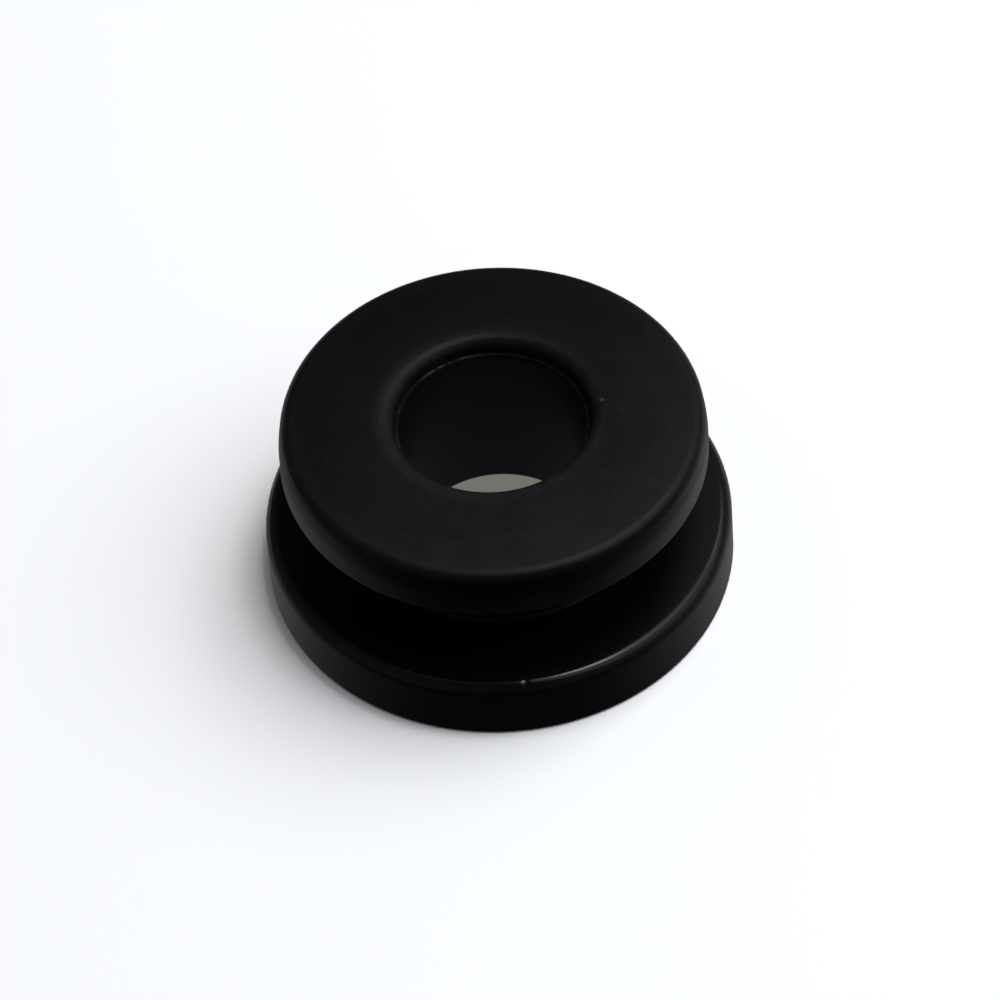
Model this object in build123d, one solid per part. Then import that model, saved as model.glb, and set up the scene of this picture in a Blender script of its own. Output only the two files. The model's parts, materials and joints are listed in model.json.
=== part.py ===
from build123d import *

# Rubber bushing: a double-flanged push-in bush, moulded in one piece.
#
# A round base flange and a slightly smaller head are joined by a hidden waist.
# The groove between them seats the edge of a panel's hole, and the bore through
# the middle takes a fastener or its metal sleeve.
#
# Millimetres, +Z up along the bore. The origin is the centre of the base face,
# which is the face that the bushing stands on. The section is drawn in the XZ
# plane, as seen from -Y, and turned a full circle about Z.

import os
from math import radians, tan
from typing import NamedTuple

# ---------------------------------------------------------------- driving sizes

# Bore, for the fastener or its sleeve.
bore_diameter = 11.0
bore_foot_chamfer = 0.2  # broken edge where the bore meets the base face

# Lead-in at the head's end of the bore.
mouth_flare = 0.42  # how much wider the mouth is than the bore, on the radius
mouth_depth = 1.05
mouth_rim_round = 0.8  # where the lead-in meets the head's face

# Waist: the ring of rubber inside the panel's hole.
waist_wall = 3.5

# Groove between the flanges, which seats the panel.
groove_width = 4.75

# Base flange, the larger one.
base_overhang = 5.25  # how far its foot stands out from the waist
base_thickness = 3.95
base_foot_chamfer = 0.25  # broken edge around the base face
base_shoulder_round = 0.8

# Head, the smaller flange, which is pushed through the panel's hole.
head_overhang = 3.55  # how far its lower edge stands out from the waist
head_thickness = 3.3
head_crown_round = 0.8

# Both rims lean inwards towards the head's face, so that they leave the mould.
rim_draft_deg = 3.0

# ---------------------------------------------------------------- worked-out sizes

bore_radius = bore_diameter / 2
waist_radius = bore_radius + waist_wall
base_radius = waist_radius + base_overhang
head_radius = waist_radius + head_overhang

groove_floor = base_thickness
groove_ceiling = groove_floor + groove_width
overall_height = groove_ceiling + head_thickness
throat_height = overall_height - mouth_depth


class Corner(NamedTuple):
    """One corner of the half section, before and after rounding."""

    radius: float  # distance from the bore's axis
    height: float  # distance above the base face
    round: float = 0.0  # radius of the round on the corner, 0 where it is sharp


def drafted(radius: float, rise: float) -> float:
    """Radius of a drafted rim at the given rise above its foot."""
    return radius - rise * tan(radians(rim_draft_deg))


def base_corners() -> list[Corner]:
    """Base flange: its chamfered foot and its rounded shoulder."""
    shoulder_radius = drafted(base_radius, base_thickness)
    return [
        Corner(base_radius - base_foot_chamfer, 0),
        Corner(drafted(base_radius, base_foot_chamfer), base_foot_chamfer),
        Corner(shoulder_radius, groove_floor, base_shoulder_round),
    ]


def groove_corners() -> list[Corner]:
    """Groove: the two square corners against the waist."""
    return [
        Corner(waist_radius, groove_floor),
        Corner(waist_radius, groove_ceiling),
    ]


def head_corners() -> list[Corner]:
    """Head: its crisp lip over the groove and its rounded crown."""
    crown_radius = drafted(head_radius, head_thickness)
    return [
        Corner(head_radius, groove_ceiling),
        Corner(crown_radius, overall_height, head_crown_round),
    ]


def bore_corners() -> list[Corner]:
    """Bore, from the lead-in at the head down to the base face."""
    return [
        Corner(bore_radius + mouth_flare, overall_height, mouth_rim_round),
        Corner(bore_radius, throat_height),
        Corner(bore_radius, bore_foot_chamfer),
        Corner(bore_radius + bore_foot_chamfer, 0),
    ]


def half_section() -> Face:
    """Rounded half section of the bushing, on the +X side of the XZ plane."""
    corners = base_corners() + groove_corners() + head_corners() + bore_corners()
    outline = FilletPolyline(
        *[(corner.radius, corner.height) for corner in corners],
        radius=[corner.round for corner in corners],
        close=True,
    )
    return Plane.XZ * make_face(outline)


def bushing() -> Part:
    """The whole bushing: the half section turned about the bore's axis."""
    body = revolve(half_section(), axis=Axis.Z)
    body.label = "bushing"
    return body


os.makedirs("parts", exist_ok=True)
export_step(bushing(), "parts/bushing.step")
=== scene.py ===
"""Looks of the rubber bushing: a push-in bush with two flanges, moulded in one piece.

The visible body is turned from one rounded half section about the bore's axis, and stands for the
plain CAD solid. Its rubber is matt where the mould's end plates shaped it, and smoother where the
mould's side rings did. Where those two rings met, a fine crease runs down the front and the back.

Sizes are in millimetres up to the point where a mesh is finished, and in metres from there on.
"""

import json
import logging
import math
from dataclasses import dataclass, field
from enum import Enum
from functools import reduce
from typing import NamedTuple

import bmesh
import bpy
from bmesh.types import BMEdge, BMesh
from bpy.types import Material, Node, NodeTree, Object
from bpy.types import NodeSocket as Socket
from mathutils import Matrix, Vector, noise


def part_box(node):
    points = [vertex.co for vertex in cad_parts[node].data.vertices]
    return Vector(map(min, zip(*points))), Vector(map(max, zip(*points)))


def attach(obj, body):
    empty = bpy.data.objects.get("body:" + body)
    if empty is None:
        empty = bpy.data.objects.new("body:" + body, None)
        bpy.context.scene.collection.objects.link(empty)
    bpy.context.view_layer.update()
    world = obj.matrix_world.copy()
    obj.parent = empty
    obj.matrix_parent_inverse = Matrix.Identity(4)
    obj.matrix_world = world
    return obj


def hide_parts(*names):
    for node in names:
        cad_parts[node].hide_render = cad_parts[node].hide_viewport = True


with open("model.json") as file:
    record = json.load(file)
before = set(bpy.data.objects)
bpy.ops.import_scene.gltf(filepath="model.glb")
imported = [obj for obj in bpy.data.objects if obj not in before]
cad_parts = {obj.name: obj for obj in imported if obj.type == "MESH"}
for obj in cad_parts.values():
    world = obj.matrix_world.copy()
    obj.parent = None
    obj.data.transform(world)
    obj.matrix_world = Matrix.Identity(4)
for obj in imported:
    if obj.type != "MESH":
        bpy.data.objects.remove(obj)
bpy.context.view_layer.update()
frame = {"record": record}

log = logging.getLogger("bushing")

MM = 0.001  # metres in a millimetre
NODE = "bushing"
BODY = "root"
SLOT = "black_rubber"

Colour = tuple[float, float, float, float]
Place = tuple[float, float, float]
Direction = tuple[float, float, float]
Pair = tuple[float, float]
Sockets = dict[str, Socket]


def grey(tone: float) -> Colour:
    """A neutral grey of the given brightness."""
    return (tone, tone, tone, 1.0)


def beside(level: float, span: Pair) -> Pair:
    """The two ends of a span that is given from some level."""
    return (level + span[0], level + span[1])


def ramp(value: float, start: float, end: float) -> float:
    """Smooth change from 0 at the start to 1 at the end.

    Args:
        value: what drives the change.
        start: where it starts.
        end: where it ends.

    Returns:
        A number from 0 to 1.
    """
    share = min(max((value - start) / (end - start), 0.0), 1.0)
    return share * share * (3.0 - 2.0 * share)


def placed(data: bpy.types.ID) -> Object:
    """Puts a mesh, a lamp or a camera in the scene.

    Args:
        data: what the new object holds, and is named after.

    Returns:
        The object.
    """
    made = bpy.data.objects.new(data.name, data)
    bpy.context.scene.collection.objects.link(made)
    return made


def finished(name: str, mesh: BMesh) -> Object:
    """Turns a finished mesh into an object of the scene.

    Args:
        name: the object's name, and its mesh's.
        mesh: the mesh, in metres, which is used up.

    Returns:
        The object.
    """
    data = bpy.data.meshes.new(name)
    mesh.to_mesh(data)
    mesh.free()
    return placed(data)


# ---- node trees


class Sheet:
    """A node tree, with short calls for the nodes that the finishes use."""

    def __init__(self, tree: NodeTree) -> None:
        """Empties a node tree, ready for new nodes.

        Args:
            tree: the node tree of a material, of the world or of a group.
        """
        self.tree = tree
        tree.nodes.clear()

    def node(self, kind: str, *values: object, **settings: object) -> Node:
        """Adds a node.

        Args:
            kind: Blender's name for the type of node.
            values: what feeds its first inputs, in order.
            settings: attributes to set on the node.

        Returns:
            The new node.
        """
        made = self.tree.nodes.new(kind)
        for name, value in settings.items():
            setattr(made, name, value)
        for socket, value in zip(made.inputs, values):
            self.feed(socket, value)
        return made

    def feed(self, socket: Socket, value: object) -> None:
        """Links an input to an output, or sets its value.

        Args:
            socket: the input to feed.
            value: an output socket, or a plain value.
        """
        if isinstance(value, Socket):
            self.tree.links.new(value, socket)
        else:
            socket.default_value = value

    def filled(self, kind: str, **values: object) -> Node:
        """Adds a node and feeds some of its inputs.

        Args:
            kind: Blender's name for the type of node.
            values: what feeds the inputs, by their names, with _ for a space.

        Returns:
            The new node.
        """
        made = self.node(kind)
        for name, value in values.items():
            self.feed(made.inputs[name.replace("_", " ")], value)
        return made

    def math(self, operation: str, *values: object, clamp: bool = False) -> Socket:
        """Adds a Math node, whose result can be kept between 0 and 1."""
        made = self.node("ShaderNodeMath", *values, operation=operation, use_clamp=clamp)
        return made.outputs[0]

    def product(self, *values: object) -> Socket:
        """Multiplies any number of values."""
        return reduce(lambda one, other: self.math("MULTIPLY", one, other), values)

    def vector(self, operation: str, *values: object) -> Node:
        """Adds a Vector Math node, whose outputs differ with the operation."""
        return self.node("ShaderNodeVectorMath", *values, operation=operation)

    def along(self, place: Socket, towards: Direction) -> Socket:
        """How far a place lies in a direction."""
        return self.vector("DOT_PRODUCT", place, towards).outputs["Value"]

    def place(self) -> Socket:
        """The place on the piece that is being shaded, in millimetres."""
        coordinates = self.node("ShaderNodeTexCoord").outputs["Object"]
        return self.vector("MULTIPLY", coordinates, (1.0 / MM,) * 3).outputs[0]

    def fade(
        self, value: object, start: object, end: object, low: object = 0.0, high: object = 1.0
    ) -> Socket:
        """Adds a smooth change from one value to another.

        Args:
            value: what drives the change.
            start: the driving value at which the change starts.
            end: the driving value at which it ends.
            low: the result up to the start.
            high: the result past the end.

        Returns:
            The changing value.
        """
        values = (value, start, end, low, high)
        made = self.node("ShaderNodeMapRange", *values, interpolation_type="SMOOTHSTEP")
        return made.outputs["Result"]

    def between(self, mask: Socket, low: object, high: object) -> Socket:
        """Goes smoothly from one value to another as a mask goes from 0 to 1."""
        return self.fade(mask, 0.0, 1.0, low, high)

    def blend(self, share: object, first: object, second: object) -> Socket:
        """Adds a mix of two colours.

        Args:
            share: how much of the second colour shows.
            first: the colour at a share of 0.
            second: the colour at a share of 1.

        Returns:
            The mixed colour.
        """
        made = self.node("ShaderNodeMix", data_type="RGBA")
        self.feed(made.inputs["Factor"], share)
        colours = [socket for socket in made.inputs if socket.type == "RGBA"]
        self.feed(colours[0], first)
        self.feed(colours[1], second)
        return next(socket for socket in made.outputs if socket.type == "RGBA")

    def mix(self, share: Socket, first: Socket, second: Socket) -> Socket:
        """Mixes two shaders, with the given share of the second."""
        return self.node("ShaderNodeMixShader", share, first, second).outputs[0]

    def by_ray(self, other: Socket, camera: Socket) -> Socket:
        """Shows one shader to the camera, and another to light and to reflections."""
        return self.mix(self.node("ShaderNodeLightPath").outputs["Is Camera Ray"], other, camera)

    def cloud(
        self, where: object, scale: object, detail: float = 2.0, roughness: float = 0.5
    ) -> Socket:
        """Adds noise from 0 to 1, with the given number of features in a millimetre."""
        values = {"Vector": where, "Scale": scale, "Detail": detail, "Roughness": roughness}
        return self.filled("ShaderNodeTexNoise", **values).outputs["Fac"]

    def use(self, effect: "Effect", **values: object) -> Sockets:
        """Places an effect's node group in this tree.

        Args:
            effect: the effect to place.
            values: what feeds its inputs, by the inputs' names in lower case, with _ for a space.

        Returns:
            Its outputs, by their names in lower case.
        """
        made = self.node("ShaderNodeGroup", node_tree=effect.group(), label=effect.title)
        for socket in made.inputs:
            self.feed(socket, values[socket.name.lower().replace(" ", "_")])
        return {socket.name.lower(): socket for socket in made.outputs}


class Kind(Enum):
    """What a socket of an effect carries."""

    VALUE = "NodeSocketFloat"
    VECTOR = "NodeSocketVector"


class Effect:
    """A shader node group that is built once, and placed wherever a finish needs it."""

    title: str
    places: tuple[str, ...] = ("Place",)  # its inputs that are vectors
    values: tuple[str, ...] = ()  # its inputs that are numbers
    gives: tuple[str, ...] = ("Mask",)

    def group(self) -> NodeTree:
        """Gives the effect's node group.

        Returns:
            The group, which is built on the first call.
        """
        found = bpy.data.node_groups.get(self.title)
        if found:
            return found
        group = bpy.data.node_groups.new(self.title, "ShaderNodeTree")
        inputs = self.places + self.values
        sockets = [(name, "INPUT") for name in inputs] + [(name, "OUTPUT") for name in self.gives]
        for name, side in sockets:
            kind = Kind.VECTOR if name in self.places else Kind.VALUE
            group.interface.new_socket(name=name, in_out=side, socket_type=kind.value)
        sheet = Sheet(group)
        entry = sheet.node("NodeGroupInput")
        leave = sheet.node("NodeGroupOutput")
        results = self.draw(sheet, {name: entry.outputs[name] for name in inputs})
        for name, result in zip(self.gives, results):
            sheet.feed(leave.inputs[name], result)
        return group

    def draw(self, sheet: Sheet, given: Sockets) -> tuple[Socket, ...]:
        """Adds the effect's own nodes.

        Args:
            sheet: the group's tree.
            given: the group's inputs, by name.

        Returns:
            What feeds the group's outputs, in order.
        """
        raise NotImplementedError


class SectionPlace(Effect):
    """Where a point lies on the bush's section: how far from the bore's axis, and how high."""

    title = "section_place"
    gives = ("Radius", "Height")

    def draw(self, sheet: Sheet, given: Sockets) -> tuple[Socket, ...]:
        """Splits the place.

        Args:
            sheet: the group's tree.
            given: the place.

        Returns:
            The distance from the axis, and the height.
        """
        split = sheet.node("ShaderNodeSeparateXYZ", given["Place"])
        flat = sheet.vector("MULTIPLY", given["Place"], (1.0, 1.0, 0.0))
        radius = sheet.vector("LENGTH", flat.outputs[0]).outputs["Value"]
        return radius, split.outputs["Z"]


class MouldGrain(Effect):
    """The fine skin that a blasted mould leaves on rubber, as a height from 0 to 1."""

    title = "mould_grain"
    values = ("Fineness",)
    gives = ("Height",)
    PITS = 0.65  # how much of the height the pits make up
    SLOWER = 0.22  # fineness of the swell under them, as a share of the pits'

    def draw(self, sheet: Sheet, given: Sockets) -> tuple[Socket, ...]:
        """Lays fine pits over a slower swell.

        Args:
            sheet: the group's tree.
            given: the place, and the pits in a millimetre.

        Returns:
            The height.
        """
        slower = sheet.product(given["Fineness"], self.SLOWER)
        fine = sheet.cloud(given["Place"], given["Fineness"], detail=3.0, roughness=0.6)
        slow = sheet.cloud(given["Place"], slower)
        pits = sheet.product(fine, self.PITS)
        return (sheet.math("ADD", pits, sheet.product(slow, 1.0 - self.PITS)),)


class DustSpecks(Effect):
    """Stray specks of dust and lint, each a small soft spot of its own size."""

    title = "dust_specks"
    values = ("Spacing", "Size", "Share")
    SMALLEST = 0.4  # as a share of the size, and the largest is 1 more
    FAINTEST = 0.25
    CORE = 0.35  # how much of a speck is at its full strength
    WARP_SCALE = 3.0  # of the noise that bends them

    def draw(self, sheet: Sheet, given: Sockets) -> tuple[Socket, ...]:
        """Keeps a share of the cells of a scattered grid, and puts a speck in each.

        Args:
            sheet: the group's tree.
            given: the place, and the specks' spacing, size and share.

        Returns:
            The mask.
        """
        warp = sheet.cloud(given["Place"], self.WARP_SCALE, detail=1.0)
        bent = sheet.vector("ADD", given["Place"], warp)
        scale = sheet.math("DIVIDE", 1.0, given["Spacing"])
        cells = sheet.filled("ShaderNodeTexVoronoi", Vector=bent.outputs[0], Scale=scale)
        chance = sheet.node("ShaderNodeSeparateColor", cells.outputs["Color"])
        kept = sheet.math("LESS_THAN", chance.outputs[0], given["Share"])
        size = sheet.math("ADD", self.SMALLEST, chance.outputs[1])
        size = sheet.product(given["Size"], size)
        reach = sheet.product(cells.outputs["Distance"], given["Spacing"])
        spot = sheet.fade(reach, sheet.product(size, self.CORE), size, 1.0, 0.0)
        strength = sheet.product(chance.outputs[2], 1.0 - self.FAINTEST)
        return (sheet.product(spot, kept, sheet.math("ADD", self.FAINTEST, strength)),)


class HandlingSmears(Effect):
    """Broad, faint patches that fingers and packing leave on rubber."""

    title = "handling_smears"
    values = ("Size",)
    BEND_SCALE = 2.3  # of the smaller clouds, as a share of the broad ones'
    SPAN = (0.34, 0.68)  # of the cloud, from clean to smeared

    def draw(self, sheet: Sheet, given: Sockets) -> tuple[Socket, ...]:
        """Bends broad clouds by smaller ones, so that they look wiped.

        Args:
            sheet: the group's tree.
            given: the place, and how broad a smear is.

        Returns:
            The mask.
        """
        scale = sheet.math("DIVIDE", 1.0, given["Size"])
        bend = sheet.cloud(given["Place"], sheet.product(scale, self.BEND_SCALE))
        wiped = sheet.vector("ADD", given["Place"], sheet.product(bend, given["Size"]))
        broad = sheet.cloud(wiped.outputs[0], scale, detail=4.0, roughness=0.55)
        return (sheet.fade(broad, *self.SPAN),)


class Spot(Effect):
    """One soft round spot at a known place, such as a smudge or a speck."""

    title = "spot"
    places = ("Place", "Centre")
    values = ("Reach",)
    EDGE = (0.75, 1.25)  # where it fades, as shares of its reach
    RAGGED = 0.6  # how far its edge wanders, as a share of its reach
    RAGGED_SCALE = 1.2  # how often it wanders within its reach

    def draw(self, sheet: Sheet, given: Sockets) -> tuple[Socket, ...]:
        """Fades with the distance from the centre, with an uneven edge.

        Args:
            sheet: the group's tree.
            given: the place, and the spot's centre and reach.

        Returns:
            The mask.
        """
        away = sheet.vector("DISTANCE", given["Place"], given["Centre"]).outputs["Value"]
        share = sheet.math("DIVIDE", away, given["Reach"])
        scale = sheet.math("DIVIDE", self.RAGGED_SCALE, given["Reach"])
        uneven = sheet.product(sheet.cloud(given["Place"], scale), self.RAGGED)
        return (sheet.fade(sheet.math("ADD", share, uneven), *self.EDGE, 1.0, 0.0),)


class EdgeRubAndHighlight(Effect):
    """A ring painted lighter along one edge of the section: rubbed rubber on some edges, a painted
    highlight on others.
    """

    title = "edge_rub"
    values = ("Radius", "Height", "Edge radius", "Edge height", "Width")
    PATCH_SCALE = 0.9  # patches in a millimetre
    PATCH_SPAN = (0.3, 0.7)
    LEAST = 0.4  # how strong it is between the patches

    def draw(self, sheet: Sheet, given: Sockets) -> tuple[Socket, ...]:
        """Fades with the distance from the edge, unevenly along it.

        Args:
            sheet: the group's tree.
            given: the place, the edge, and the ring's width.

        Returns:
            The mask.
        """
        across = sheet.math("SUBTRACT", given["Radius"], given["Edge radius"])
        along = sheet.math("SUBTRACT", given["Height"], given["Edge height"])
        squares = (sheet.math("POWER", part, 2.0) for part in (across, along))
        away = sheet.math("SQRT", sheet.math("ADD", *squares))
        ring = sheet.fade(away, 0.0, given["Width"], 1.0, 0.0)
        cloud = sheet.cloud(given["Place"], self.PATCH_SCALE, detail=4.0, roughness=0.6)
        return (sheet.product(ring, sheet.fade(cloud, *self.PATCH_SPAN, low=self.LEAST)),)


# ---- the rubber


class Mark(NamedTuple):
    """One soft round spot on the bush."""

    centre: Place
    reach: float
    strength: float


class LighterRing(NamedTuple):
    """A ring painted lighter beside one edge of the bush: rubbing on the shoulder, a painted
    highlight on the mouth's rim.
    """

    outward: float  # from the edge
    upward: float
    width: float
    strength: float
    towards: Direction  # to the side on which it is lightest


class Scatter(NamedTuple):
    """One kind of scattered dust."""

    spacing: float
    size: float
    share: float  # how many of the places hold a speck
    strength: float


class Surface(NamedTuple):
    """The bush's surface, as its material sees it."""

    sheet: Sheet
    bush: "Bush"
    place: Socket
    radius: Socket  # from the bore's axis
    height: Socket  # above the base face


@dataclass(frozen=True)
class BlackRubber:
    """Plain moulded black rubber: matt on the end faces, satin on the sides, lightly dusted."""

    rubber: Colour = (0.0050, 0.0048, 0.0068, 1.0)
    bloom_and_sheen_colour: Colour = (0.0216, 0.0207, 0.0260, 1.0)  # a greyish blue tone: partly a bloom on old rubber, partly a painted sheen on the end faces at the front and a painted cool reflection on the right
    # Painted lighter: rubbed rings and a smudge, and painted highlights on the mouth's rim and the
    # throat's step.
    rub_and_highlight_colour: Colour = (0.032, 0.031, 0.033, 1.0)
    dust: Colour = (0.16, 0.15, 0.135, 1.0)

    end_roughness: float = 0.43
    side_roughness: float = 0.33
    shoulder_roughness: float = 0.16
    bore_roughness: float = 0.53
    bore_reach: float = 1.0  # how far out from the bore that gives way to the side's
    end_crown: float = 0.45  # share of the crown's round in the end face
    end_depth: float = 0.05  # how far from an end face its texture is complete
    foot_reach: float = 0.25  # and where it ends above the foot

    grain: float = 16.0  # pits in a millimetre
    end_grain_depth: float = 0.010
    side_grain_depth: float = 0.003
    dust_height: float = 0.02
    refraction: float = 1.5

    handled_and_sheen_side: Direction = (0.42, -0.91, 0.0)  # to the front, where hands rubbed the shoulder and where the end faces are painted lighter as a sheen
    handled_and_sheen_span: Pair = (-11.0, 12.0)  # along that direction
    smears: tuple[Pair, ...] = ((7.0, 0.3), (1.6, 0.2))  # how broad, and how strong
    smear_strengths: Pair = (0.5, 0.35)  # away from the front, and at it
    smear_turn: float = 0.6  # how much of the way to the front they change over
    blotch_span: Pair = (0.08, 0.42)  # of the smears, which the blotches follow
    sheen_blotches: Pair = (0.45, 0.95)  # how strong the painted sheen is on the end faces at the front
    cool_reflection_side: Direction = (0.97, -0.25, 0.0)  # to the right, where the rubber is painted lighter and cooler, a painted reflection of cool light
    cool_reflection_span: Pair = (9.5, 14.0)  # along that direction
    cool_reflection_strength: float = 0.9
    haze_roughness: float = 0.06

    polish_starts: Pair = (-0.7, -0.35)  # from the base's upper face
    polish_ends: Pair = (0.2, 0.6)
    polish_inner: float = 0.2  # how broad its inner edge is
    polish_coat: float = 0.35
    coat_roughness: float = 0.12
    worn: Direction = (0.67, -0.74, 0.0)  # to the side on which it has worn
    worn_span: Pair = (0.90, 0.99)  # how far round that starts, and is complete
    worn_polish: float = 0.15  # what is left of it there

    mouth_highlight_side: Direction = (-0.6, -0.8, 0.0)  # to the side on which the mouth's rim is painted lighter, a painted highlight
    # Rings painted lighter: inside the crown, lightest at the front; on the shoulder, rubbing; on
    # the mouth's rim, a painted highlight.
    crown_ring: LighterRing = LighterRing(-0.6, -0.08, 0.9, 0.5, handled_and_sheen_side)
    shoulder_rub: LighterRing = LighterRing(-0.2, -0.2, 0.6, 0.3, handled_and_sheen_side)
    mouth_highlight: LighterRing = LighterRing(0.25, -0.12, 1.15, 1.9, mouth_highlight_side)
    far_ring_share: float = 0.3  # share of each on the other side
    ring_roughness: float = 0.15

    step_starts: Pair = (-0.35, -0.15)  # from the throat's height
    step_ends: Pair = (0.02, 0.12)
    step_inner: Pair = (0.4, 0.8)  # from the bore's wall
    step_highlight_paint: float = 0.6  # how much lighter it is painted where it shines, a painted highlight
    step_roughness: Pair = (0.4, -0.1)  # added where it is dull, and where it shines
    shining: Direction = (0.82, -0.57, 0.0)  # across the two sides on which it shines
    shine_span: Pair = (0.35, 0.9)  # how far round that starts, and is complete
    shine_scale: float = 0.55  # patches in a millimetre
    shine_patches: Pair = (0.42, 0.58)  # of a cloud, from dull to shining
    dulled: Mark = Mark((-4.5, 3.3, 10.95), 1.9, 1.0)  # where it doesn't shine

    smudge: Mark = Mark((1.1, -12.4, 9.6), 1.35, 0.6)
    scatters: tuple[Scatter, ...] = (
        Scatter(1.5, 0.11, 0.07, 1.0),
        Scatter(0.42, 0.05, 0.16, 0.5),
    )
    side_dust: float = 0.15  # how much of it stays on the sides
    specks: tuple[Mark, ...] = (
        Mark((6.41, -0.05, 11.9), 0.20, 0.85),
        Mark((6.60, -0.50, 11.9), 0.13, 0.35),
        Mark((6.86, -0.97, 11.9), 0.12, 0.35),
        Mark((7.45, -0.95, 12.0), 0.24, 0.06),
        Mark((3.37, -5.29, 11.8), 0.14, 0.40),
        Mark((1.93, -6.34, 11.9), 0.10, 0.30),
        Mark((5.65, -3.28, 11.9), 0.14, 0.25),
        Mark((-5.30, -4.00, 11.9), 0.13, 0.30),
        Mark((7.11, 3.59, 12.0), 0.12, 0.20),
    )
    dust_roughness: float = 0.3

    def material(self, bush: "Bush") -> Material:
        """Builds the material.

        Args:
            bush: the bushing that it dresses, whose edges it follows.

        Returns:
            The material.
        """
        made = bpy.data.materials.new(SLOT)
        made.use_nodes = True
        sheet = Sheet(made.node_tree)
        place = sheet.place()
        section = sheet.use(SectionPlace(), place=place)
        on = Surface(sheet, bush, place, section["radius"], section["height"])

        ends = self.end_faces(on)
        haze_and_sheen = self.haze_and_sheen(on, ends)
        rub_and_highlight = self.rubbed_and_highlit_edges(on)
        dust = self.fallen_dust(on, ends)
        step, shine = self.throat_step(on)
        polish = self.polished_shoulder(on)

        # Painted light in the colour: a painted sheen and a painted cool reflection in the bloom's
        # tone, and a painted highlight on the mouth's rim in the lighter tone.
        colour = sheet.blend(haze_and_sheen, self.rubber, self.bloom_and_sheen_colour)
        # Painted highlight: where the throat's step shines, its colour is painted lighter too.
        step_highlight = sheet.product(step, sheet.between(shine, 0.0, self.step_highlight_paint))
        for mask in (rub_and_highlight, self.marked(on, self.smudge), step_highlight):
            colour = sheet.blend(mask, colour, self.rub_and_highlight_colour)
        colour = sheet.blend(dust, colour, self.dust)

        bore_ends = beside(bush.bore_radius, (0.0, self.bore_reach))
        walls = sheet.fade(on.radius, *bore_ends, self.bore_roughness, self.side_roughness)
        walls = sheet.between(polish, walls, self.shoulder_roughness)
        rough = sheet.between(ends, walls, self.end_roughness)
        changes = (
            sheet.product(step, sheet.between(shine, *self.step_roughness)),
            sheet.product(sheet.math("SUBTRACT", haze_and_sheen, 0.5), self.haze_roughness),
            sheet.product(rub_and_highlight, self.ring_roughness),
            sheet.product(dust, self.dust_roughness),
        )
        for change in changes:
            rough = sheet.math("ADD", rough, change, clamp=change is changes[-1])

        grain = sheet.use(MouldGrain(), place=place, fineness=self.grain)["height"]
        depth = sheet.between(ends, self.side_grain_depth, self.end_grain_depth)
        pits = sheet.product(grain, depth)
        relief = sheet.math("ADD", pits, sheet.product(dust, self.dust_height))
        bump = sheet.filled("ShaderNodeBump", Height=relief, Distance=MM)
        shader = sheet.filled(
            "ShaderNodeBsdfPrincipled",
            Base_Color=colour,
            Roughness=rough,
            Normal=bump.outputs["Normal"],
            Coat_Weight=sheet.product(polish, self.polish_coat),
            Coat_Roughness=self.coat_roughness,
            IOR=self.refraction,
        )
        sheet.node("ShaderNodeOutputMaterial", shader.outputs["BSDF"])
        return made

    def facing(self, on: Surface, towards: Direction) -> Socket:
        """How far round a place is: 1 on the side that a direction points to, -1 opposite."""
        return on.sheet.math("DIVIDE", on.sheet.along(on.place, towards), on.radius)

    def marked(self, on: Surface, mark: Mark) -> Socket:
        """Marks one soft round spot."""
        spot = on.sheet.use(Spot(), place=on.place, centre=mark.centre, reach=mark.reach)
        return on.sheet.product(spot["mask"], mark.strength)

    def end_faces(self, on: Surface) -> Socket:
        """Marks what the mould's two end plates shaped.

        Args:
            on: the surface.

        Returns:
            A mask, from 0 on the sides to 1 on the end faces.
        """
        sheet, bush = on.sheet, on.bush
        crown = bush.top - bush.crown_round * self.end_crown
        top = sheet.fade(on.height, crown, bush.top - self.end_depth)
        foot = sheet.fade(on.height, self.end_depth, self.foot_reach, 1.0, 0.0)
        return sheet.math("ADD", top, foot, clamp=True)

    def haze_and_sheen(self, on: Surface, ends: Socket) -> Socket:
        """Marks the bloom and the smears in it, a painted sheen that makes the end faces lighter
        at the front, and a painted cool reflection that makes the right side lighter.

        Args:
            on: the surface.
            ends: the mask of the end faces.

        Returns:
            How much the rubber takes the colour of the bloom and of the painted sheen and
            reflection.
        """
        sheet = on.sheet
        smears = 0.0
        for size, strength in self.smears:
            smear = sheet.use(HandlingSmears(), place=on.place, size=size)["mask"]
            smears = sheet.math("ADD", smears, sheet.product(smear, strength))
        # Painted sheen: the end faces are painted lighter towards the front, in blotches that
        # follow the smears.
        sheen_blotches = sheet.fade(smears, *self.blotch_span, *self.sheen_blotches)
        front = sheet.fade(sheet.along(on.place, self.handled_and_sheen_side), *self.handled_and_sheen_span)
        strength = sheet.fade(front, 0.0, self.smear_turn, *self.smear_strengths)
        haze_and_sheen = sheet.product(smears, strength)
        haze_and_sheen = sheet.math("ADD", haze_and_sheen, sheet.product(front, ends, sheen_blotches))
        # Painted reflection: the right side is painted lighter and cooler, as the mirror of a cool
        # light.
        cool_reflection = sheet.fade(sheet.along(on.place, self.cool_reflection_side), *self.cool_reflection_span)
        return sheet.math("ADD", haze_and_sheen, sheet.product(cool_reflection, self.cool_reflection_strength))

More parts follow.
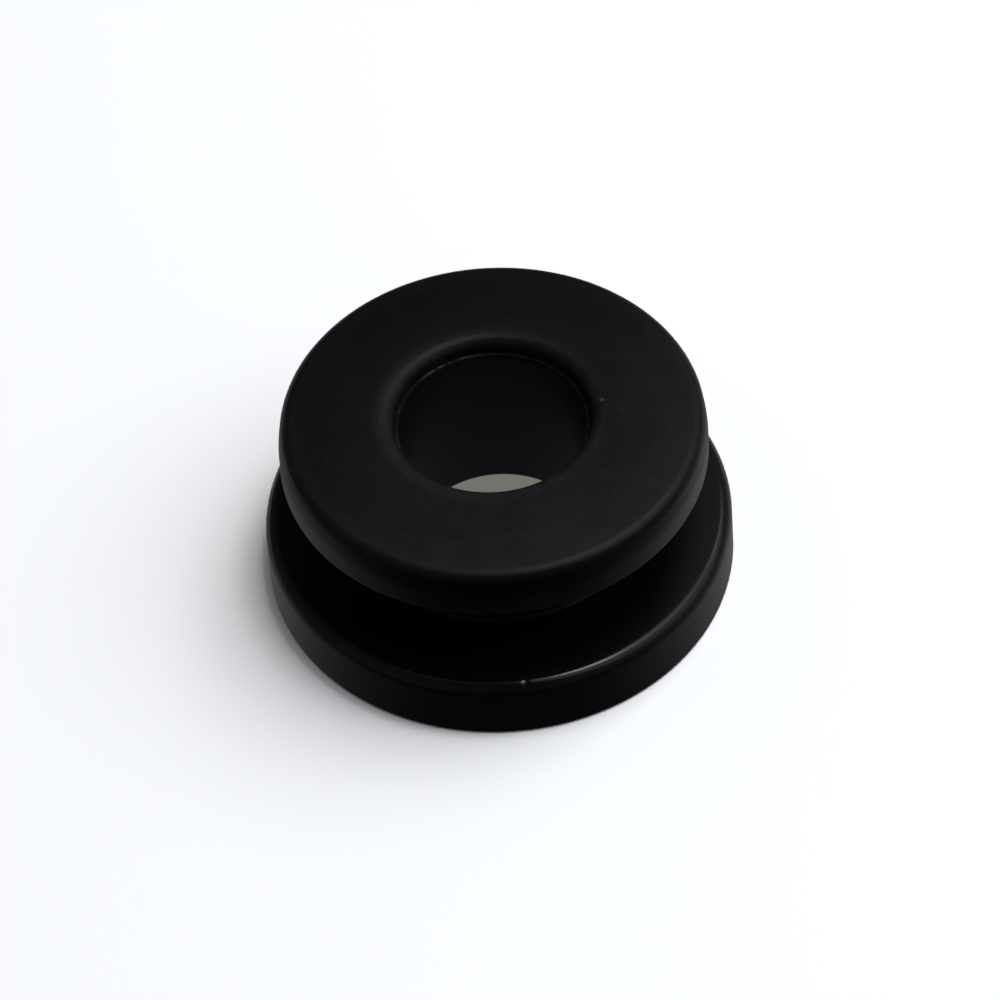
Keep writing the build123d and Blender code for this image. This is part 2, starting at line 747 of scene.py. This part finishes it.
    def polished_shoulder(self, on: Surface) -> Socket:
        """Marks the base's shoulder, where the mould's side rings are polished.

        Args:
            on: the surface.

        Returns:
            A mask, which is faint where the polish has worn.
        """
        sheet, bush = on.sheet, on.bush
        inner = bush.shoulder_radius - bush.shoulder_round
        low = sheet.fade(on.height, *beside(bush.base_top, self.polish_ends), 1.0, 0.0)
        high = sheet.fade(on.height, *beside(bush.base_top, self.polish_starts))
        outside = sheet.fade(on.radius, inner, inner + self.polish_inner)
        worn = sheet.fade(self.facing(on, self.worn), *self.worn_span, 1.0, self.worn_polish)
        return sheet.product(high, low, outside, worn)

    def rubbed_and_highlit_edges(self, on: Surface) -> Socket:
        """Marks rings painted lighter along the crown, the shoulder and the mouth: rubbing on the
        shoulder, a painted highlight on the mouth's rim, and on the crown a ring that is lightest
        at the front.

        Args:
            on: the surface.

        Returns:
            The mask.
        """
        sheet, bush = on.sheet, on.bush
        rims = (
            (self.crown_ring, bush.crown_radius, bush.top),
            (self.shoulder_rub, bush.shoulder_radius, bush.base_top),
            (self.mouth_highlight, bush.mouth_radius, bush.top),
        )
        total = 0.0
        for rub_and_highlight, radius, height in rims:
            ring = sheet.use(
                EdgeRubAndHighlight(),
                place=on.place,
                radius=on.radius,
                height=on.height,
                edge_radius=radius + rub_and_highlight.outward,
                edge_height=height + rub_and_highlight.upward,
                width=rub_and_highlight.width,
            )["mask"]
            facing = self.facing(on, rub_and_highlight.towards)
            strength = sheet.fade(facing, -1.0, 1.0, self.far_ring_share * rub_and_highlight.strength, rub_and_highlight.strength)
            total = sheet.math("ADD", total, sheet.product(ring, strength), clamp=True)
        return total

    def throat_step(self, on: Surface) -> tuple[Socket, Socket]:
        """Marks the step at the throat.

        Args:
            on: the surface.

        Returns:
            The step's mask, and how much it shines, which it does on two opposite sides.
        """
        sheet, bush = on.sheet, on.bush
        above = sheet.fade(on.height, *beside(bush.throat, self.step_starts))
        below = sheet.fade(on.height, *beside(bush.throat, self.step_ends), 1.0, 0.0)
        inside = sheet.fade(on.radius, *beside(bush.bore_radius, self.step_inner), 1.0, 0.0)
        share = sheet.math("ABSOLUTE", self.facing(on, self.shining))
        cloud = sheet.cloud(on.place, self.shine_scale, detail=3.0, roughness=0.6)
        bare = sheet.math("SUBTRACT", 1.0, self.marked(on, self.dulled))
        patchy = sheet.product(sheet.fade(cloud, *self.shine_patches), bare)
        shine = sheet.product(sheet.fade(share, *self.shine_span), patchy)
        return sheet.product(above, below, inside), shine

    def fallen_dust(self, on: Surface, ends: Socket) -> Socket:
        """Marks the dust that has fallen on the bush.

        Args:
            on: the surface.
            ends: the mask of the end faces, which hold more of it.

        Returns:
            The mask, of scattered dust and of single specks.
        """
        sheet = on.sheet
        total = 0.0
        for spacing, size, share, strength in self.scatters:
            dust = sheet.use(
                DustSpecks(), place=on.place, spacing=spacing, size=size, share=share
            )["mask"]
            total = sheet.math("ADD", total, sheet.product(dust, strength), clamp=True)
        total = sheet.product(total, sheet.between(ends, self.side_dust, 1.0))
        for speck in self.specks:
            total = sheet.math("ADD", total, self.marked(on, speck), clamp=True)
        return total


# ---- the bushing


class Corner(NamedTuple):
    """One corner of the half section, before it is rounded."""

    radius: float
    height: float
    round: float
    steps: int  # facets of the round


class Sector(NamedTuple):
    """A part of the full turn, spun with even steps."""

    degrees: float
    steps: int


@dataclass(frozen=True)
class SeamCrease:
    """The fine crease where the mould's two side rings meet, at the front and the back."""

    depth: float = 0.022
    width: float = 0.16
    starts_above: float = 0.35  # nothing sinks nearer the base face than this
    foot_run: float = 0.5  # over how much height it then deepens
    ends_below: float = 0.75  # nothing sinks nearer the head's face than this
    crown_run: float = 0.6
    outside: float = 9.05  # nor inside the waist
    mean: float = 0.75  # how much of its depth it has on average
    swing: float = 0.5  # how far that wanders along it
    noise_start: float = 7.0
    noise_scale: Pair = (0.8, 0.9)  # of the wandering, outwards and upwards

    def sink(self, place: Vector, top: float) -> float:
        """How deep the crease is at a place.

        Args:
            place: a point on the bush, in millimetres.
            top: the height of the head's face.

        Returns:
            The depth along the surface's normal, in millimetres.
        """
        if place.xy.length < self.outside:
            return 0.0
        foot = ramp(place.z, self.starts_above, self.starts_above + self.foot_run)
        crown = ramp(top - place.z, self.ends_below, self.ends_below + self.crown_run)
        outward, upward = self.noise_scale
        spot = Vector((self.noise_start, place.y * outward, place.z * upward))
        uneven = self.mean + self.swing * noise.noise(spot)
        return self.depth * foot * crown * uneven * math.exp(-((place.x / self.width) ** 2))


@dataclass
class Bush:
    """The whole bushing: a base flange, a hidden waist and a smaller head, turned about one bore.

    The base's outer radius, the height and the bore come from the CAD model, and the rest are its
    own.
    """

    base_radius: float = 14.235  # widest, just above the foot
    top: float = 12.0
    bore_radius: float = 5.5

    base_top: float = 3.95
    rim_draft: float = 3.0  # degrees, of both rims
    foot_round: float = 0.25
    shoulder_round: float = 0.8

    waist_radius: float = 9.0
    waist_round: float = 0.3

    head_underside: float = 8.7
    lip_radius: float = 12.6
    lip_round: float = 0.5
    brow_height: float = 10.5  # where the head's rim starts to lean in more, towards the crown
    brow_draft: float = 9.5  # degrees
    brow_round: float = 5.0
    crown_round: float = 0.72
    face_crest: float = 8.6  # radius at which the head's face stands highest
    face_fall: float = 0.10  # how much lower it is at the crown
    mouth_fall: float = 0.03  # and where it turns down into the mouth
    face_round: float = 45.0

    mouth_flare: float = 0.33
    mouth_depth: float = 1.05
    mouth_round: float = 0.65
    mouth_slopes: tuple[Pair, ...] = ((0.95, 4.0), (0.55, 12.0))  # how far out, and how steep
    mouth_slope_rounds: tuple[float, ...] = (6.0, 0.7)
    throat_ledge: float = 0.16  # a fine step that the core pin's end leaves at the throat
    ledge_fall: float = 0.1  # how much it falls for each millimetre inwards
    throat_round: float = 0.04
    bore_foot_round: float = 0.2

    longest_facet: float = 0.8
    hold: float = 0.12  # a short facet beside each round keeps the flat next to it flat
    weld: float = 0.002  # points nearer than this are one
    swell: float = 0.006  # how far moulded rubber falls short of the mould, in slow waves
    swell_scale: float = 0.33  # waves in a millimetre
    crease: SeamCrease = field(default_factory=SeamCrease)
    seam_sector: Sector = Sector(3.2, 26)
    plain_sector: Sector = Sector(176.8, 168)

    @classmethod
    def from_frame(cls) -> "Bush":
        """Takes the outer sizes from the CAD node's box, and the bore from the record's mount.

        Returns:
            The bush.
        """
        low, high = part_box(NODE)
        mounts = {mount["name"]: mount for mount in frame["record"]["mounts"]}
        return cls(
            base_radius=min(high.x, high.y, -low.x, -low.y) / MM,
            top=high.z / MM,
            bore_radius=mounts["bore"]["dims"]["r_mm"],
        )

    @property
    def lean(self) -> float:
        """How far a rim leans inwards for each millimetre of height."""
        return math.tan(math.radians(self.rim_draft))

    @property
    def shoulder_radius(self) -> float:
        """Radius at which the base's rim would meet its upper face without the round."""
        return self.base_radius - (self.base_top - self.foot_round) * self.lean

    @property
    def brow_radius(self) -> float:
        """Radius at which the two slopes of the head's rim would meet without the round."""
        return self.lip_radius - (self.brow_height - self.head_underside) * self.lean

    @property
    def crown_radius(self) -> float:
        """Radius at which the head's rim would meet its face without the round."""
        rise = self.top - self.brow_height
        return self.brow_radius - rise * math.tan(math.radians(self.brow_draft))

    @property
    def mouth_radius(self) -> float:
        """Radius at which the lead-in would meet the head's face without the round."""
        return self.bore_radius + self.mouth_flare

    @property
    def throat(self) -> float:
        """Height at which the lead-in ends."""
        return self.top - self.mouth_depth

    @property
    def face_lift(self) -> float:
        """How far above the head's face the two slopes of its swell would meet.

        Returns:
            The height that the round between the two slopes takes away.
        """
        slopes = self.face_fall / (self.crown_radius - self.face_crest)
        slopes += self.mouth_fall / (self.face_crest - self.mouth_radius - self.mouth_slopes[0][0])
        return self.face_round * (1.0 / math.cos(slopes / 2) - 1.0)

    def corners(self) -> list[Corner]:
        """Lists the half section's corners.

        Returns:
            The corners, from the foot up the outside and down the bore.
        """
        foot_radius = self.base_radius + self.foot_round * self.lean
        ledge_foot = self.throat - self.throat_ledge * self.ledge_fall
        return [
            Corner(foot_radius, 0.0, self.foot_round, 6),
            Corner(self.shoulder_radius, self.base_top, self.shoulder_round, 14),
            Corner(self.waist_radius, self.base_top, self.waist_round, 5),
            Corner(self.waist_radius, self.head_underside, self.waist_round, 5),
            Corner(self.lip_radius, self.head_underside, self.lip_round, 9),
            Corner(self.brow_radius, self.brow_height, self.brow_round, 8),
            Corner(self.crown_radius, self.top - self.face_fall, self.crown_round, 14),
            Corner(self.face_crest, self.top + self.face_lift, self.face_round, 12),
            *self.mouth_corners(),
            Corner(self.bore_radius + self.throat_ledge, self.throat, self.throat_round, 3),
            Corner(self.bore_radius, ledge_foot, self.throat_round, 3),
            Corner(self.bore_radius, 0.0, self.bore_foot_round, 5),
        ]

    def mouth_corners(self) -> list[Corner]:
        """Lists the corners where the head's face turns down into the mouth, gently at first.

        Returns:
            The corners, from the outside in.
        """
        height = self.top - self.mouth_fall
        found = []
        inner = [reach for reach, _ in self.mouth_slopes[1:]] + [0.0]
        steps = zip(self.mouth_slopes, inner, self.mouth_slope_rounds)
        for (reach, slope), next_reach, size in steps:
            found.append(Corner(self.mouth_radius + reach, height, size, 5))
            height -= (reach - next_reach) * math.tan(math.radians(slope))
        return found + [Corner(self.mouth_radius, height, self.mouth_round, 8)]

    def half_section(self, mesh: BMesh) -> list[BMEdge]:
        """Draws the rounded half section in the XZ plane.

        Args:
            mesh: the mesh to draw it in.

        Returns:
            The section's edges.
        """
        corners = self.corners()
        points = [mesh.verts.new((corner.radius, 0.0, corner.height)) for corner in corners]
        face = mesh.faces.new(points)
        places = [point.co.copy() for point in points]
        for index, (corner, point) in enumerate(zip(corners, points)):
            before = places[index] - places[index - 1]
            after = places[(index + 1) % len(places)] - places[index]
            bmesh.ops.bevel(
                mesh,
                geom=[point],
                affect="VERTICES",
                offset=corner.round * math.tan(before.angle(after) / 2),
                segments=corner.steps,
                profile=0.5,
                material=-1,
            )
        faces = [face] if face.is_valid else mesh.faces[:]
        bmesh.ops.delete(mesh, geom=faces, context="FACES_ONLY")
        shortest = 3 * self.hold  # so that a facet fits between the two held ones
        for edge in [edge for edge in mesh.edges if edge.calc_length() > shortest]:
            self.divide(mesh, edge)
        return mesh.edges[:]

    def divide(self, mesh: BMesh, edge: BMEdge) -> None:
        """Puts a short facet at each end of a straight run, and even ones between them.

        Args:
            mesh: the mesh that holds the run.
            edge: the run.
        """
        for end in edge.verts[:]:
            split, _ = bmesh.utils.edge_split(edge, end, self.hold / edge.calc_length())
            edge = max(split, edge, key=lambda part: part.calc_length())
        cuts = int(edge.calc_length() / self.longest_facet)
        if cuts:
            bmesh.ops.subdivide_edges(mesh, edges=[edge], cuts=cuts)

    def turn(self, mesh: BMesh, section: list[BMEdge]) -> None:
        """Spins the section a full turn, in finer steps across the two seams.

        Args:
            mesh: the mesh that holds the section.
            section: the section's edges.
        """
        half = Sector(self.plain_sector.degrees / 2, self.plain_sector.steps // 2)
        row = section + list(mesh.verts)
        for sector in (half, self.seam_sector, self.plain_sector, self.seam_sector, half):
            spun = bmesh.ops.spin(
                mesh,
                geom=row,
                cent=(0.0, 0.0, 0.0),
                axis=(0.0, 0.0, 1.0),
                angle=math.radians(sector.degrees),
                steps=sector.steps,
            )
            row = spun["geom_last"]
        bmesh.ops.remove_doubles(mesh, verts=mesh.verts, dist=self.weld)
        bmesh.ops.recalc_face_normals(mesh, faces=mesh.faces)

    def work_surface(self, mesh: BMesh) -> None:
        """Gives the turned surface its slow waves and its seam.

        Args:
            mesh: the closed mesh.
        """
        mesh.normal_update()
        for point in mesh.verts:
            wave = 0.5 + 0.5 * noise.noise(point.co * self.swell_scale)  # mostly from 0 to 1
            sink = self.swell * min(max(wave, 0.0), 1.0)
            point.co -= point.normal * (self.crease.sink(point.co, self.top) + sink)

    def build(self) -> Object:
        """Builds the bushing's mesh and fits it to the CAD frame.

        Returns:
            The finished piece, without its material.
        """
        mesh = bmesh.new()
        self.turn(mesh, self.half_section(mesh))
        self.work_surface(mesh)
        bmesh.ops.scale(mesh, vec=(MM,) * 3, verts=mesh.verts)
        for face in mesh.faces:
            face.smooth = True
        piece = finished("moulded_bush", mesh)
        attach(piece, BODY)
        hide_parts(NODE)
        return piece

    def dress(self, piece: Object, finish: BlackRubber) -> None:
        """Gives the piece its finish, and the record's material slot."""
        piece.data.materials.append(finish.material(self))


# ---- the studio


@dataclass(frozen=True)
class Table:
    """A plain pale table top, much larger than the view.

    The lamps are dim, so that black rubber stays black, and the paint is overbright to look pale
    under them. What the glossy rubber mirrors is a table of plain tones, dark in front of the
    bushing.
    """

    half_size: float = 1.5  # metres
    paint: Colour = (4.5, 4.5, 4.48, 1.0)

    # Mirrored tones around the bushing.
    front: Colour = grey(0.025)
    left: Colour = grey(0.19)
    right: Colour = grey(0.33)
    behind: Colour = grey(0.30)
    left_power: float = 4.0  # how late the tones rise on the way round from the front
    right_power: float = 3.0
    behind_starts: Pair = (6.0, 18.0)  # along +Y

    # How the mirrored tones are dimmed further out, most of all in front.
    near_ends: Pair = (20.3, 25.0)  # from the bore's axis
    far_share: float = 0.35  # of the brightness nearby
    front_ends: Pair = (-14.0, -2.0)  # along +Y
    side_dimming: float = 0.6  # of the dimming in front

    # The table in the bore, as it is mirrored and as it is seen, from the middle outwards: painted
    # shade, tones that glow in place of the shaded table.
    bore_ends: Pair = (5.5, 6.5)
    in_bore: Colour = (0.105, 0.098, 0.115, 1.0)
    painted_bore_shade: tuple[Colour, Colour] = ((0.30, 0.298, 0.27, 1.0), (0.172, 0.171, 0.150, 1.0))
    bore_shade: Pair = (0.5, 4.4)

    def build(self) -> Object:
        """Builds the table top and gives it its material.

        Returns:
            The table top.
        """
        mesh = bmesh.new()
        bmesh.ops.create_grid(mesh, x_segments=1, y_segments=1, size=self.half_size)
        top = finished("table_top", mesh)
        top.data.materials.append(self.material())
        return top

    def material(self) -> Material:
        """Builds a pale matt paint, the plain tones that the rubber mirrors, and the painted shade
        that the camera sees in the bore.

        Returns:
            The material.
        """
        made = bpy.data.materials.new("table_top")
        made.use_nodes = True
        sheet = Sheet(made.node_tree)
        place = sheet.place()
        split = sheet.node("ShaderNodeSeparateXYZ", place)
        away = sheet.use(SectionPlace(), place=place)["radius"]
        outside = sheet.fade(away, *self.bore_ends)
        around = self.tones(sheet, split, away)
        mirrored = sheet.blend(outside, self.in_bore, around)
        # Painted shade: the camera sees the table in the bore as a glowing tone, darker towards
        # the bore's wall.
        shade = sheet.blend(sheet.fade(away, *self.bore_shade), *self.painted_bore_shade)
        mirrored = sheet.node("ShaderNodeEmission", mirrored).outputs[0]
        shaded = sheet.node("ShaderNodeEmission", shade).outputs[0]
        paint = sheet.node("ShaderNodeBsdfDiffuse", self.paint).outputs[0]
        shown = sheet.by_ray(mirrored, sheet.mix(outside, shaded, paint))
        sheet.node("ShaderNodeOutputMaterial", shown)
        made.cycles.emission_sampling = "NONE"
        return made

    def tones(self, sheet: Sheet, split: Node, away: Socket) -> Socket:
        """Lays out the mirrored tones around the bushing.

        Args:
            sheet: the material's node tree.
            split: the node whose outputs are the place's X, Y and Z.
            away: the distance from the bore's axis.

        Returns:
            The tone.
        """
        right = sheet.math("DIVIDE", split.outputs["X"], away)
        tone = self.front
        sides = ((-1.0, self.left_power, self.left), (1.0, self.right_power, self.right))
        for sign, power, side in sides:
            share = sheet.math("MAXIMUM", sheet.product(right, sign), 0.0)
            tone = sheet.blend(sheet.math("POWER", share, power), tone, side)
        dimmed = sheet.fade(away, *self.near_ends, 0.0, 1.0 - self.far_share)
        less = sheet.fade(split.outputs["Y"], *self.front_ends, 1.0, self.side_dimming)
        tone = sheet.blend(sheet.product(dimmed, less), tone, grey(0.0))
        return sheet.blend(sheet.fade(split.outputs["Y"], *self.behind_starts), tone, self.behind)


@dataclass(frozen=True)
class Softbox:
    """A round, soft studio lamp that points at the bushing."""

    name: str
    azimuth: float  # degrees, 0 towards +X and 90 towards +Y
    elevation: float  # degrees above the table
    distance: float  # metres
    spread: float  # half the angle that it fills, seen from the bushing
    brightness: float  # of its face
    tint: tuple[float, float, float] = (1.0, 1.0, 1.0)

    def build(self, aim: Vector) -> Object:
        """Sets the lamp up.

        Args:
            aim: the point that it faces.

        Returns:
            The lamp.
        """
        radius = self.distance * math.tan(math.radians(self.spread))
        lamp = bpy.data.lights.new(self.name, "AREA")
        lamp.shape = "DISK"
        lamp.size = 2.0 * radius
        area = math.pi * radius**2
        lamp.energy = self.brightness * math.pi * area
        lamp.color = self.tint
        around, up = math.radians(self.azimuth), math.radians(self.elevation)
        level = Vector((math.cos(around), math.sin(around), 0.0)) * math.cos(up)
        towards = level + Vector((0.0, 0.0, math.sin(up)))
        made = placed(lamp)
        made.location = aim + towards * self.distance
        made.rotation_mode = "QUATERNION"
        made.rotation_quaternion = towards.to_track_quat("Z", "Y")
        return made


@dataclass
class Studio:
    """Plain soft light from five round lamps above, in a dim room.

    The key and the bulb stand high to the right, the ceiling lamp high to the left, the edge lamp
    lower and behind, and the fill is broad and cool. The camera sees a plain pale backdrop.
    """

    lamps: tuple[Softbox, ...] = (
        Softbox("key", 30.3, 68.0, 0.5, spread=16.3, brightness=0.72),
        Softbox("bulb", 4.0, 75.5, 0.49, spread=7.0, brightness=2.8),
        Softbox("ceiling", 164.0, 79.0, 0.48, spread=9.0, brightness=0.06),
        Softbox("edge", 48.0, 47.0, 0.55, spread=7.0, brightness=0.6),
        Softbox("fill", 0.0, 57.5, 0.6, spread=30.7, brightness=0.37, tint=(0.95, 1.0, 1.12)),
    )
    walls: tuple[tuple[Direction, Colour], ...] = (
        ((-1.0, 0.0, 0.0), grey(0.088)),
        ((1.0, 0.0, 0.0), grey(0.114)),
        ((0.0, -1.0, 0.0), grey(0.023)),
        ((0.0, 1.0, 0.0), grey(0.031)),
    )
    at_the_floor: float = 0.59  # how bright the walls are at the bottom, as a share of the top
    backdrop: Colour = (0.93, 0.93, 0.925, 1.0)

    def build(self, aim: Vector) -> None:
        """Sets up the lamps and the room around them.

        Args:
            aim: the point that the lamps face.
        """
        for lamp in self.lamps:
            lamp.build(aim)
            log.info("lamp %s", lamp.name)
        scene = bpy.context.scene
        scene.view_settings.view_transform = "Standard"
        world = bpy.data.worlds.new("room")
        scene.world = world
        world.use_nodes = True
        sheet = Sheet(world.node_tree)
        towards = sheet.node("ShaderNodeTexCoord").outputs["Generated"]
        total: object = (0.0, 0.0, 0.0)
        for facing, tone in self.walls:
            share = sheet.math("MAXIMUM", sheet.along(towards, facing), 0.0)
            wall = sheet.blend(share, grey(0.0), tone)
            total = sheet.vector("ADD", total, wall).outputs[0]
        rise = sheet.along(towards, (0.0, 0.0, 1.0))
        level = sheet.product(rise, 1.0 - self.at_the_floor)
        level = sheet.math("ADD", level, self.at_the_floor)
        room = sheet.node("ShaderNodeBackground", total, level)
        backdrop = sheet.node("ShaderNodeBackground", self.backdrop)
        shown = sheet.by_ray(room.outputs[0], backdrop.outputs[0])
        sheet.node("ShaderNodeOutputWorld", shown)


@dataclass(frozen=True)
class Viewpoint:
    """A close three-quarter view from above, tipped a little to one side."""

    turn: float = -3.6  # degrees round the bushing, 0 looking along +Y
    elevation: float = 49.62
    roll: float = 4.03
    distance: float = 147.5
    middle: float = 3.525  # height of the point that the distance is measured to
    aim_right: float = 0.114  # from that point, in the view's own directions
    aim_up: float = 0.362
    lens: float = 87.97
    sensor: float = 36.0
    nearest: float = 0.01  # metres, of what the camera still sees

    def build(self) -> Object:
        """Sets the camera up and makes it the scene's own.

        Returns:
            The camera.
        """
        turn, rise, roll = map(math.radians, (self.turn, self.elevation, self.roll))
        level = Vector((math.cos(turn), math.sin(turn), 0.0))
        away = Vector((math.sin(turn), -math.cos(turn), 0.0))
        back = away * math.cos(rise) + Vector((0.0, 0.0, math.sin(rise)))
        right = level * math.cos(roll) - back.cross(level) * math.sin(roll)
        up = back.cross(right)
        middle = Vector((0.0, 0.0, self.middle))
        place = middle + back * self.distance
        aim = middle + right * self.aim_right + up * self.aim_up
        back = (place - aim).normalized()
        right = (right - back * right.dot(back)).normalized()
        up = back.cross(right)

        lens = bpy.data.cameras.new("viewpoint")
        lens.sensor_width = self.sensor
        lens.lens = self.lens
        lens.clip_start = self.nearest
        camera = placed(lens)
        axes = Matrix((right, up, back)).transposed()
        camera.matrix_world = Matrix.Translation(place * MM) @ axes.to_4x4()
        bpy.context.scene.camera = camera
        return camera


def main() -> None:
    """Builds the bushing, the table, the light and the camera, in that order."""
    logging.basicConfig(level=logging.INFO, format="%(name)s: %(message)s")
    bush = Bush.from_frame()
    piece = bush.build()
    bush.dress(piece, BlackRubber())
    counts = len(piece.data.vertices), len(piece.data.polygons)
    log.info("%s: %d vertices, %d faces", piece.name, *counts)
    table = Table().build()
    log.info("%s", table.name)
    Studio().build(Vector((0.0, 0.0, bush.top / 2)) * MM)
    camera = Viewpoint().build()
    log.info("camera %s", camera.name)


if __name__ == "__main__":
    main()
